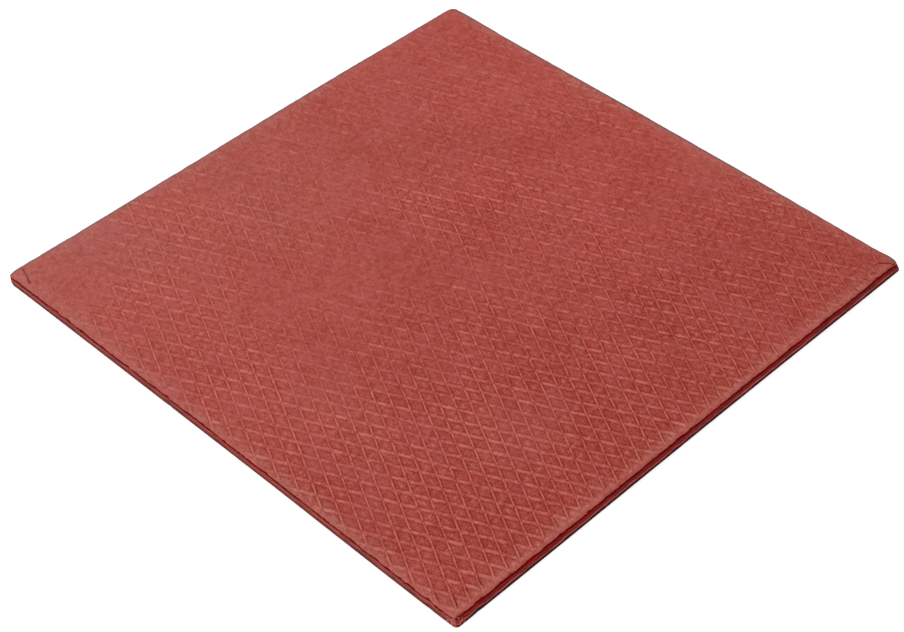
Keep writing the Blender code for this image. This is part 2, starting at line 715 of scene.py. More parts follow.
class Sketch:
    """Adds nodes to one node tree and wires them, so that a finish reads as a recipe."""

    def __init__(self, tree: bpy.types.NodeTree) -> None:
        """Keep the tree that the nodes go into."""
        self.tree = tree

    def add(self, kind: str, **settings: object) -> Node:
        """Add a node.

        Args:
            kind: The node's type name.
            **settings: The properties to set on it.

        Returns:
            The node.
        """
        node = self.tree.nodes.new(kind)
        for name, value in settings.items():
            setattr(node, name, value)
        return node

    def feed(self, socket: Socket, value: Term) -> None:
        """Wire a socket to another node's output, or set its value.

        Args:
            socket: The input to feed.
            value: The output, number or colour that it gets.
        """
        if isinstance(value, Socket):
            self.tree.links.new(value, socket)
        elif isinstance(value, tuple) and socket.type == "RGBA":
            socket.default_value = (*value, 1.0)
        else:
            socket.default_value = value

    def math(self, operation: str, *terms: Term) -> Socket:
        """Return the result of one arithmetic node.

        Args:
            operation: The node's operation.
            *terms: Its inputs, in order.

        Returns:
            The node's output.
        """
        node = self.add("ShaderNodeMath", operation=operation)
        for socket, term in zip(node.inputs, terms):
            self.feed(socket, term)
        return node.outputs[0]

    def times(self, first: Term, *others: Term) -> Socket:
        """Return the product of two or more terms.

        Args:
            first: The first term.
            *others: The terms that it is multiplied by, in order.

        Returns:
            The output of the last product.
        """
        for other in others:
            first = self.math("MULTIPLY", first, other)
        return first

    def rise(self, value: Term, low: float, high: float) -> Socket:
        """Return 0 where value is at low, 1 where it is at high, and a smooth rise between them.

        Args:
            value: The term to map.
            low: The value that gives 0.
            high: The value that gives 1; it may be less than low.

        Returns:
            The mapped term, from 0 to 1.
        """
        node = self.add("ShaderNodeMapRange", interpolation_type="SMOOTHSTEP")
        self.feed(node.inputs["Value"], value)
        self.feed(node.inputs["From Min"], low)
        self.feed(node.inputs["From Max"], high)
        return node.outputs["Result"]

    def spread(self, value: Term, low: float, high: float) -> Socket:
        """Return value, which runs from 0 to 1, spread evenly from low to high.

        Args:
            value: The term to map.
            low: What 0 gives.
            high: What 1 gives.

        Returns:
            The mapped term.
        """
        node = self.add("ShaderNodeMapRange")
        self.feed(node.inputs["Value"], value)
        self.feed(node.inputs["To Min"], low)
        self.feed(node.inputs["To Max"], high)
        return node.outputs["Result"]

    def blend(self, share: Term, first: Term, second: Term, mode: str = "MIX") -> Socket:
        """Return the first colour with a share of the second one laid over it.

        Args:
            share: How much of the second colour shows.
            first: The colour below.
            second: The colour above.
            mode: How the two are combined.

        Returns:
            The mixed colour.
        """
        node = self.add("ShaderNodeMix", data_type="RGBA", blend_type=mode)
        sockets = {socket.identifier: socket for socket in node.inputs}
        self.feed(sockets["Factor_Float"], share)
        self.feed(sockets["A_Color"], first)
        self.feed(sockets["B_Color"], second)
        return next(socket for socket in node.outputs if socket.identifier == "Result_Color")

    def clamp(self, value: Term) -> Socket:
        """Return value kept between 0 and 1.

        Args:
            value: The term to keep in range.

        Returns:
            The clamped term.
        """
        node = self.add("ShaderNodeClamp")
        self.feed(node.inputs["Value"], value)
        return node.outputs["Result"]

    def place(self) -> Socket:
        """Return the object's own coordinates, in metres."""
        return self.add("ShaderNodeTexCoord").outputs["Object"]

    def parts(self, vector: Socket) -> tuple[Socket, Socket, Socket]:
        """Split a vector.

        Args:
            vector: The vector to split.

        Returns:
            Its X, Y and Z.
        """
        node = self.add("ShaderNodeSeparateXYZ")
        self.feed(node.inputs["Vector"], vector)
        return node.outputs["X"], node.outputs["Y"], node.outputs["Z"]

    def attribute(self, name: str, output: str = "Vector") -> Socket:
        """Return one of the mesh's own attributes."""
        return self.add("ShaderNodeAttribute", attribute_name=name).outputs[output]

    def moved(self, place: Socket, operation: str, amounts: tuple[float, float, float]) -> Socket:
        """Return a place after one vector operation, such as a shift.

        Args:
            place: The place to change.
            operation: The vector node's operation.
            amounts: Its second vector.

        Returns:
            The changed place.
        """
        node = self.add("ShaderNodeVectorMath", operation=operation)
        self.feed(node.inputs[0], place)
        node.inputs[1].default_value = amounts
        return node.outputs[0]

    def noise(self, size: Term, detail: float = 2.0, output: str = "Fac", shift: float = 0.0,
              flatness: float = 1.0) -> Socket:
        """Return noise on the surface.

        Args:
            size: The size of its lumps, in metres.
            detail: How much finer noise it holds.
            output: The name of the socket to read.
            shift: Picks another such noise.
            flatness: How many times lower than wide the lumps are.

        Returns:
            The noise node's output.
        """
        place = self.place()
        if flatness != 1.0:
            place = self.moved(place, "MULTIPLY", (1.0, 1.0, flatness))
        if shift:
            place = self.moved(place, "ADD", (shift, shift, shift))
        node = self.add("ShaderNodeTexNoise")
        self.feed(node.inputs["Vector"], place)
        scale = 1 / size if isinstance(size, float) else self.math("DIVIDE", 1.0, size)
        self.feed(node.inputs["Scale"], scale)
        self.feed(node.inputs["Detail"], detail)
        return node.outputs[output]

    def group(self, tree: bpy.types.NodeTree, **values: Term) -> Node:
        """Place a node group and feed its inputs.

        Args:
            tree: The group.
            **values: What each input gets; an underscore in its name stands for a space.

        Returns:
            The group's node.
        """
        node = self.add("ShaderNodeGroup", node_tree=tree)
        for name, value in values.items():
            self.feed(node.inputs[name.replace("_", " ")], value)
        return node


@dataclass(frozen=True)
class Blotches:
    """Blotches in a finish: noise of a size, detail and shift, and the values that it rises between."""

    size: float
    detail: float
    shift: float
    low: float
    high: float
    flatness: float = 1.0

    def mask(self, sketch: Sketch) -> Socket:
        """Return the mask of the blotches, from 0 to 1."""
        grain = sketch.noise(self.size, self.detail, shift=self.shift, flatness=self.flatness)
        return sketch.rise(grain, self.low, self.high)


def new_group(name: str, inputs: dict[str, float], outputs: list[str]) -> tuple[Sketch, dict, dict]:
    """Make an empty shader node group.

    Args:
        name: The group's name.
        inputs: The name and first value of each input.
        outputs: The name of each output.

    Returns:
        The group's sketch, its inputs as sockets to read, and its outputs as sockets to feed.
    """
    tree = bpy.data.node_groups.new(name, "ShaderNodeTree")
    for label, value in inputs.items():
        socket = tree.interface.new_socket(label, in_out="INPUT", socket_type="NodeSocketFloat")
        socket.default_value = value
    for label in outputs:
        tree.interface.new_socket(label, in_out="OUTPUT", socket_type="NodeSocketFloat")
    sketch = Sketch(tree)
    entry = sketch.add("NodeGroupInput")
    leave = sketch.add("NodeGroupOutput")
    return sketch, dict(entry.outputs.items()), dict(leave.inputs.items())


@dataclass(frozen=True)
class FillerGrain:
    """The fine grain that the ceramic filler gives every face of the silicone."""

    grain_size: float = 0.15 * MM
    lump_size: float = 0.6 * MM
    grain_share: float = 0.45
    lump_share: float = 0.55
    grain_detail: float = 3.0
    speck_span: Span = (0.42, 0.68)

    def build(self) -> bpy.types.NodeTree:
        """Build the node group.

        Returns:
            A group with the inputs Grain Size and Lump Size, and the outputs Height, Speck, Grain and Lump.
        """
        sizes = {"Grain Size": self.grain_size, "Lump Size": self.lump_size}
        sketch, given, out = new_group("filler_grain", sizes, ["Height", "Speck", "Grain", "Lump"])
        grain = sketch.noise(given["Grain Size"], self.grain_detail)
        lumps = sketch.noise(given["Lump Size"])
        fine_height = sketch.times(grain, self.grain_share)
        sketch.feed(out["Height"], sketch.math("ADD", fine_height, sketch.times(lumps, self.lump_share)))
        sketch.feed(out["Speck"], sketch.rise(grain, *self.speck_span))
        sketch.feed(out["Grain"], grain)
        sketch.feed(out["Lump"], lumps)
        return sketch.tree


@dataclass(frozen=True)
class SiliconeBloom:
    """The soft clouds that silicone oil and handling leave on the surface."""

    cloud_size: float = 18 * MM
    streak_size: float = 3 * MM
    streak_detail: float = 3.0
    cloud_span: Span = (0.35, 0.68)
    streak_span: Span = (0.38, 0.66)

    def build(self) -> bpy.types.NodeTree:
        """Build the node group.

        Returns:
            A group with the inputs Cloud Size and Streak Size, and the outputs Cloud and Streak.
        """
        sizes = {"Cloud Size": self.cloud_size, "Streak Size": self.streak_size}
        sketch, given, out = new_group("silicone_bloom", sizes, ["Cloud", "Streak"])
        streaks = sketch.noise(given["Streak Size"], self.streak_detail)
        sketch.feed(out["Cloud"], sketch.rise(sketch.noise(given["Cloud Size"]), *self.cloud_span))
        sketch.feed(out["Streak"], sketch.rise(streaks, *self.streak_span))
        return sketch.tree


@dataclass(frozen=True)
class SharedEffects:
    """The node groups that every finish of the sheet uses."""

    grain: bpy.types.NodeTree
    bloom: bpy.types.NodeTree

    @classmethod
    def build(cls) -> "SharedEffects":
        """Build each group once."""
        return cls(FillerGrain().build(), SiliconeBloom().build())


def start_finish(name: str) -> tuple[bpy.types.Material, Sketch, Node]:
    """Make an empty material.

    Args:
        name: The material's name.

    Returns:
        The material, the sketch of its nodes and its Principled BSDF.
    """
    material = bpy.data.materials.new(name)
    material.use_nodes = True
    return material, Sketch(material.node_tree), material.node_tree.nodes["Principled BSDF"]


@dataclass(frozen=True)
class Surface:
    """The gloss of one finish, the depth and sizes of its grain, and the sizes of its clouds and streaks."""

    specular: float
    grain_depth: float
    grain_size: float
    lump_size: float
    cloud_size: float
    streak_size: float

    def effects(self, sketch: Sketch, effects: SharedEffects) -> tuple[Node, Node]:
        """Place the shared effects at this finish's sizes.

        Args:
            sketch: The sketch of the material.
            effects: The node groups that the finishes share.

        Returns:
            The nodes of the grain and of the bloom.
        """
        grain = sketch.group(effects.grain, Grain_Size=self.grain_size, Lump_Size=self.lump_size)
        bloom = sketch.group(effects.bloom, Cloud_Size=self.cloud_size, Streak_Size=self.streak_size)
        return grain, bloom

    def lay(self, sketch: Sketch, shader: Node, color: Socket, rough: Socket, grain: Node) -> None:
        """Feed the shader its colour and roughness, and bump it by the grain.

        Args:
            sketch: The sketch of the material.
            shader: Its Principled BSDF.
            color: The base colour.
            rough: The roughness.
            grain: The node of the grain.
        """
        sketch.feed(shader.inputs["Base Color"], color)
        sketch.feed(shader.inputs["Roughness"], rough)
        shader.inputs["Specular IOR Level"].default_value = self.specular
        bump = sketch.add("ShaderNodeBump")
        bump.inputs["Strength"].default_value = 1.0
        bump.inputs["Distance"].default_value = self.grain_depth
        sketch.feed(bump.inputs["Height"], grain.outputs["Height"])
        sketch.feed(shader.inputs["Normal"], bump.outputs["Normal"])


@dataclass(frozen=True)
class Relief:
    """What the embossed finish reads from the mesh: places, distances to lines, strengths and creases."""

    a: Socket
    b: Socket
    to_broad: Socket
    to_fine: Socket
    broad: Socket
    fine: Socket
    crease: Socket


@dataclass(frozen=True)
class EmbossedFinish:
    """The look of the embossed face.

    A tone from 0 to 1 runs from the deepest ground to the palest ridge, and each effect lifts or lowers
    it. A streak, mottle or spread holds the factors where that effect is 0 and where it is 1.
    """

    face: EmbossedFace
    surface: Surface = Surface(0.16, 0.016 * MM, 0.28 * MM, 0.80 * MM, 17 * MM, 2.4 * MM)

    # Colours in linear light
    deep: Color = (0.262, 0.0145, 0.0056)
    pale: Color = (0.556, 0.130, 0.102)
    beige: Color = (0.490, 0.150, 0.102)
    fresh: Color = (0.480, 0.030, 0.020)
    # The colours of the pale haze and the painted sheen, from deep to pale
    milky_sheen_deep: Color = (0.300, 0.055, 0.042)
    milky_sheen_pale: Color = (0.540, 0.185, 0.152)
    rosy: Color = (0.420, 0.075, 0.085)
    # Painted grey shade on the rolled edge of the far sides
    far_rim_shade_grey: Color = (0.200, 0.090, 0.085)
    # Painted shade in the creases
    crease_shade: Color = (0.150, 0.0, 0.0)

    # How far each effect lifts the tone
    ground_tone: float = 0.33
    ridge_lift: float = 0.80
    moat_lift: float = -0.28
    # The painted highlight on the domes
    dome_highlight_lift: float = 0.42
    grain_lift: float = 1.05
    lump_lift: float = 0.75
    cloud_lift: float = 0.08
    crumb_lift: float = 0.34
    middle: float = 0.5

    # How much of each colour shows
    beige_share: float = 0.4
    fresh_share: float = 0.35
    rosy_share: float = 0.22
    near_shade: float = 0.08
    crease_shade_share: float = 0.85

    # Where the blotches of each effect lie
    mottle: Blotches = Blotches(0.62 * MM, 2.0, 9.4, 0.34, 0.66)
    beige_blotches: Blotches = Blotches(2.3 * MM, 1.0, 3.1, 0.45, 0.62)
    fresh_blotches: Blotches = Blotches(0.9 * MM, 1.0, 7.7, 0.62, 0.70)
    rosy_blotches: Blotches = Blotches(5.0 * MM, 1.0, 5.3, 0.50, 0.72)

    # The lines: their wander, the edges of their masks as shares of a half width, and their spreads
    wander_size: float = 1.5 * MM
    broad_wander: float = 0.06
    fine_wander: float = 0.036
    broad_edge: Span = (1.35, 0.4)
    fine_edge: Span = (1.2, 0.3)
    broad_streak: Span = (0.65, 1.15)
    fine_streak: Span = (1.15, 0.75)
    line_mottle: Span = (0.72, 1.22)
    speckle_spread: Span = (0.72, 1.28)
    haze_streak: Span = (0.65, 1.15)
    haze_mottle: Span = (1.30, 0.60)

    # The ground: moats and painted highlight spots in shares of a diamond, and crumbs in shares of their
    # spacing
    broad_moat: Span = (0.32, 0.12)
    fine_moat: Span = (0.26, 0.08)
    spot_length: float = 0.20
    spot_width: float = 0.13
    crumb_spacing: float = 1.0 * MM
    crumb_span: Span = (0.34, 0.12)

    roughness: Span = (0.48, 0.56)
    line_polish: float = -0.06

    def material(self, effects: SharedEffects) -> bpy.types.Material:
        """Build the material.

        Args:
            effects: The node groups that the finishes share.

        Returns:
            The material of the embossed face.
        """
        material, sketch, shader = start_finish("embossed_silicone")
        grain, bloom = self.surface.effects(sketch, effects)
        relief = self.relief(sketch)
        haze_and_sheen, shade, far_rim_shade = sketch.parts(sketch.attribute("cast"))
        mottle = self.mottle.mask(sketch)
        line = sketch.times(self.lines(sketch, relief, bloom.outputs["Streak"]),
                            sketch.spread(mottle, *self.line_mottle))
        tone = self.tone(sketch, relief, line, grain, bloom)
        color = self.clean_color(sketch, relief, line, tone)
        # Lay the pale haze, the painted sheen and the painted lip highlight over the colour
        milky_sheen = sketch.blend(tone, self.milky_sheen_deep, self.milky_sheen_pale)
        haze_and_sheen = sketch.times(haze_and_sheen, sketch.spread(bloom.outputs["Streak"], *self.haze_streak),
                            sketch.spread(mottle, *self.haze_mottle))
        color = sketch.blend(sketch.clamp(haze_and_sheen), color, milky_sheen)
        color = sketch.blend(sketch.times(self.rosy_blotches.mask(sketch), self.rosy_share), color, self.rosy)
        # Painted shade towards -Y, and painted light towards +X and beside the -Y cut
        light = sketch.math("MULTIPLY_ADD", shade, -self.near_shade, 1.0)
        color = sketch.blend(1.0, color, light, "MULTIPLY")
        # Painted shade down in the creases
        color = sketch.blend(sketch.times(relief.crease, self.crease_shade_share), color, self.crease_shade)
        # Painted grey shade on the rolled edge of the +X and +Y sides
        color = sketch.blend(far_rim_shade, color, self.far_rim_shade_grey)
        rough = sketch.spread(bloom.outputs["Cloud"], *self.roughness)
        rough = sketch.math("MULTIPLY_ADD", line, self.line_polish, rough)
        self.surface.lay(sketch, shader, color, rough, grain)
        return material

    def relief(self, sketch: Sketch) -> Relief:
        """Read the relief from the mesh, with the slight wander of the pressed lines.

        Args:
            sketch: The sketch of the material.

        Returns:
            The sockets that the masks are made from.
        """
        a, b, _ = sketch.parts(sketch.attribute("lattice"))
        wander = sketch.add("ShaderNodeSeparateColor")
        sketch.feed(wander.inputs[0], sketch.noise(self.wander_size, 1.0, "Color"))
        a_drift = sketch.spread(wander.outputs["Red"], -self.broad_wander, self.broad_wander)
        b_drift = sketch.spread(wander.outputs["Green"], -self.fine_wander, self.fine_wander)
        a = sketch.math("ADD", a, a_drift)
        b = sketch.math("ADD", b, b_drift)
        to_broad = sketch.math("PINGPONG", a, 0.5)
        to_fine = sketch.math("PINGPONG", b, 0.5)
        return Relief(a, b, to_broad, to_fine, *sketch.parts(sketch.attribute("emboss")))

    def lines(self, sketch: Sketch, relief: Relief, streak: Socket) -> Socket:
        """Return the mask of the ridges: broad ones that break at the crossings, and fine ones.

        Args:
            sketch: The sketch of the material.
            relief: The sockets read from the mesh.
            streak: The streaks of the bloom, which wear the lines unevenly.

        Returns:
            The strength of the line at each point.
        """
        half, (far, near) = self.face.broad_half, self.broad_edge
        broad = sketch.times(sketch.rise(relief.to_broad, half * far, half * near),
                             sketch.rise(relief.to_fine, *self.face.break_span),
                             relief.broad, sketch.spread(streak, *self.broad_streak))
        half, (far, near) = self.face.fine_half, self.fine_edge
        fine = sketch.times(sketch.rise(relief.to_fine, half * far, half * near), relief.fine,
                            sketch.spread(streak, *self.fine_streak))
        return sketch.math("MAXIMUM", broad, fine)

    def tone(self, sketch: Sketch, relief: Relief, line: Socket, grain: Node, bloom: Node) -> Socket:
        """Return the tone of the surface, from its lines, its ground and its grain.

        Args:
            sketch: The sketch of the material.
            relief: The sockets read from the mesh.
            line: The mask of the ridges.
            grain: The node of the grain.
            bloom: The node of the bloom.

        Returns:
            The tone, from 0 to 1.
        """
        speckle = sketch.times(sketch.math("SUBTRACT", grain.outputs["Grain"], self.middle),
                               sketch.spread(relief.broad, *self.speckle_spread))
        lump = sketch.math("SUBTRACT", grain.outputs["Lump"], self.middle)
        cloud = sketch.math("SUBTRACT", bloom.outputs["Cloud"], self.middle)
        terms = (
            (line, self.ridge_lift),
            (self.moats(sketch, relief), self.moat_lift),
            (self.dome_highlights(sketch, relief), self.dome_highlight_lift),
            (speckle, self.grain_lift),
            (lump, self.lump_lift),
            (cloud, self.cloud_lift),
            (self.crumbs(sketch, relief), self.crumb_lift),
        )
        tone = self.ground_tone
        for term, lift in terms:
            tone = sketch.math("MULTIPLY_ADD", term, lift, tone)
        return sketch.clamp(tone)

    def clean_color(self, sketch: Sketch, relief: Relief, line: Socket, tone: Socket) -> Socket:
        """Return the colour of the silicone without haze, shade or dust.

        Args:
            sketch: The sketch of the material.
            relief: The sockets read from the mesh.
            line: The mask of the ridges.
            tone: The tone, from 0 to 1.

        Returns:
            The colour.
        """
        beige = sketch.times(self.beige_blotches.mask(sketch), self.beige_share)
        color = sketch.blend(tone, self.deep, sketch.blend(beige, self.pale, self.beige))
        between = sketch.math("SUBTRACT", 1.0, sketch.clamp(line))
        fresh = sketch.times(between, self.fresh_blotches.mask(sketch),
                             sketch.times(relief.broad, self.fresh_share))
        return sketch.blend(fresh, color, self.fresh)

    def moats(self, sketch: Sketch, relief: Relief) -> Socket:
        """Return the mask of the darker ground beside the ridges.

        Args:
            sketch: The sketch of the material.
            relief: The sockets read from the mesh.

        Returns:
            The strength of the moat at each point.
        """
        beside_broad = sketch.times(sketch.rise(relief.to_broad, *self.broad_moat), relief.broad)
        beside_fine = sketch.times(sketch.rise(relief.to_fine, *self.fine_moat), relief.fine)
        return sketch.math("MAXIMUM", beside_broad, beside_fine)

    def dome_highlights(self, sketch: Sketch, relief: Relief) -> Socket:
        """Return the mask of the pale spot, a painted highlight on the dome in the middle of some of the
        diamonds.

        Args:
            sketch: The sketch of the material.
            relief: The sockets read from the mesh.

        Returns:
            The strength of the spot at each point.
        """
        squares = []
        corner = sketch.add("ShaderNodeCombineXYZ")
        for axis, place, reach in (("X", relief.a, self.spot_length), ("Y", relief.b, self.spot_width)):
            offset = sketch.math("PINGPONG", sketch.math("ADD", place, 0.5), 0.5)
            squares.append(sketch.math("POWER", sketch.math("DIVIDE", offset, reach), 2.0))
            sketch.feed(corner.inputs[axis], sketch.math("FLOOR", place))
        luck = sketch.add("ShaderNodeTexWhiteNoise")
        sketch.feed(luck.inputs["Vector"], corner.outputs[0])
        spot = sketch.rise(sketch.math("ADD", *squares), 1.0, 0.0)
        return sketch.times(spot, relief.broad, luck.outputs["Value"])

    def crumbs(self, sketch: Sketch, relief: Relief) -> Socket:
        """Return the mask of the small pale crumbs that the moulding film left in the pressed ground.

        Args:
            sketch: The sketch of the material.
            relief: The sockets read from the mesh.

        Returns:
            The strength of the crumb at each point.
        """
        cells = sketch.add("ShaderNodeTexVoronoi")
        sketch.feed(cells.inputs["Vector"], sketch.place())
        cells.inputs["Scale"].default_value = 1 / self.crumb_spacing
        return sketch.times(sketch.rise(cells.outputs["Distance"], *self.crumb_span), relief.broad)


@dataclass(frozen=True)
class Band:
    """A band of colour on the cut wall, from a height up to the next band."""

    start: float
    blur: float
    color: Color


@dataclass(frozen=True)
class CutFinish:
    """The look of the cut wall: bands that follow the blade's foot, seam, belly, groove and lip.

    The darkest colour at the base, the dark band just below the seam and the dark band under the lip are
    painted shade, and the pale band at the foot is a painted highlight. The wall on the -X side has fewer
    bands and a less dark base. Pale glints are painted on the wall's tip towards -X and -Y.
    """

    surface: Surface = Surface(0.04, 0.03 * MM, 0.16 * MM, 0.5 * MM, 9 * MM, 1.4 * MM)
    # Painted shade at the base, then from the lowest band up: a painted highlight at the foot, painted shade
    # below the seam, the plain cut, painted shade under the lip, and the lip
    foot: Color = (0.030, 0.0, 0.0)
    bands: tuple[Band, ...] = (
        Band(0.52 * MM, 0.10 * MM, (0.380, 0.068, 0.062)),
        Band(0.76 * MM, 0.10 * MM, (0.150, 0.002, 0.002)),
        Band(0.96 * MM, 0.14 * MM, (0.280, 0.016, 0.013)),
        Band(1.16 * MM, 0.14 * MM, (0.155, 0.0, 0.0)),
        Band(1.70 * MM, 0.05 * MM, (0.380, 0.066, 0.050)),
    )
    # On the -X side: painted shade at the base, a plain band, painted shade under the lip, and the lip
    left_foot: Color = (0.120, 0.020, 0.016)
    left_bands: tuple[Band, ...] = (
        Band(0.70 * MM, 0.22 * MM, (0.290, 0.058, 0.046)),
        Band(1.24 * MM, 0.16 * MM, (0.085, 0.0, 0.0)),
        Band(1.70 * MM, 0.05 * MM, (0.400, 0.075, 0.058)),
    )
    left_span: Span = (49.0 * MM, 50.0 * MM)
    drift: float = 0.06 * MM
    drag_marks: Blotches = Blotches(3.2 * MM, 2.0, 0.0, 0.34, 0.66, flatness=20.0)
    drag_spread: Span = (0.66, 1.34)
    speck: Color = (0.360, 0.080, 0.065)
    speck_share: float = 0.12
    # Pale glints painted on the wall's tip towards -X and -Y: their colour, where they start, their blotches
    # and their share
    nose_glint: Color = (0.540, 0.130, 0.110)
    nose_glint_span: Span = (-96.6 * MM, -98.8 * MM)
    tears: Blotches = Blotches(0.42 * MM, 1.0, 2.9, 0.50, 0.62)
    nose_glint_share: float = 0.75
    roughness: Span = (0.55, 0.67)

    def material(self, effects: SharedEffects) -> bpy.types.Material:
        """Build the material.

        Args:
            effects: The node groups that the finishes share.

        Returns:
            The material of the cut wall.
        """
        material, sketch, shader = start_finish("cut_silicone")
        grain, bloom = self.surface.effects(sketch, effects)
        x, y, _ = sketch.parts(sketch.place())
        drift = sketch.spread(bloom.outputs["Streak"], -self.drift, self.drift)
        height = sketch.math("ADD", sketch.attribute("level", "Fac"), drift)
        right = self.stack(sketch, height, self.foot, self.bands)
        left = self.stack(sketch, height, self.left_foot, self.left_bands)
        color = sketch.blend(sketch.rise(sketch.times(x, -1.0), *self.left_span), right, left)
        drag = sketch.spread(self.drag_marks.mask(sketch), *self.drag_spread)
        color = sketch.blend(1.0, color, drag, "MULTIPLY")
        color = sketch.blend(sketch.spread(grain.outputs["Speck"], 0.0, self.speck_share), color, self.speck)
        # Painted pale glints on the tip towards -X and -Y
        tip = sketch.rise(sketch.math("ADD", x, y), *self.nose_glint_span)
        nose_glint = sketch.times(tip, self.tears.mask(sketch), self.nose_glint_share)
        color = sketch.blend(nose_glint, color, self.nose_glint)
        rough = sketch.spread(bloom.outputs["Cloud"], *self.roughness)
        self.surface.lay(sketch, shader, color, rough, grain)
        return material

    @staticmethod
    def stack(sketch: Sketch, height: Socket, foot: Color, bands: tuple[Band, ...]) -> Socket:
        """Return the colour at a height, from the foot up through the bands.

        Args:
            sketch: The sketch of the material.
            height: The height on the wall.
            foot: The colour below the first band.
            bands: The bands, from the lowest up.

        Returns:
            The colour.
        """
        color = foot
        for band in bands:
            share = sketch.rise(height, band.start - band.blur / 2, band.start + band.blur / 2)
            color = sketch.blend(share, color, band.color)
        return color


@dataclass(frozen=True)
class UndersideFinish:
    """The look of the underside: plain matt silicone with the filler's grain."""

    surface: Surface = Surface(0.35, 0.02 * MM, 0.18 * MM, 0.8 * MM, 14 * MM, 3 * MM)
    ground: Color = (0.300, 0.034, 0.023)
    cloudy: Color = (0.360, 0.062, 0.050)
    cloud_share: float = 0.6
    speck_share: float = 0.2
    roughness: Span = (0.55, 0.68)

    def material(self, effects: SharedEffects) -> bpy.types.Material:
        """Build the material.

        Args:
            effects: The node groups that the finishes share.

        Returns:
            The material of the underside.
        """
        material, sketch, shader = start_finish("smooth_silicone")
        grain, bloom = self.surface.effects(sketch, effects)
        cloud = sketch.spread(bloom.outputs["Cloud"], 0.0, self.cloud_share)
        speck = sketch.spread(grain.outputs["Speck"], 0.0, self.speck_share)
        color = sketch.blend(speck, sketch.blend(cloud, self.ground, self.cloudy), self.cloudy)
        rough = sketch.spread(bloom.outputs["Streak"], *self.roughness)
        self.surface.lay(sketch, shader, color, rough, grain)
        return material


class FaceZone(IntEnum):
    """The zones of the sheet's surface, in the order of its material slots."""

    EMBOSSED = 0
    CUT = 1
    UNDERSIDE = 2


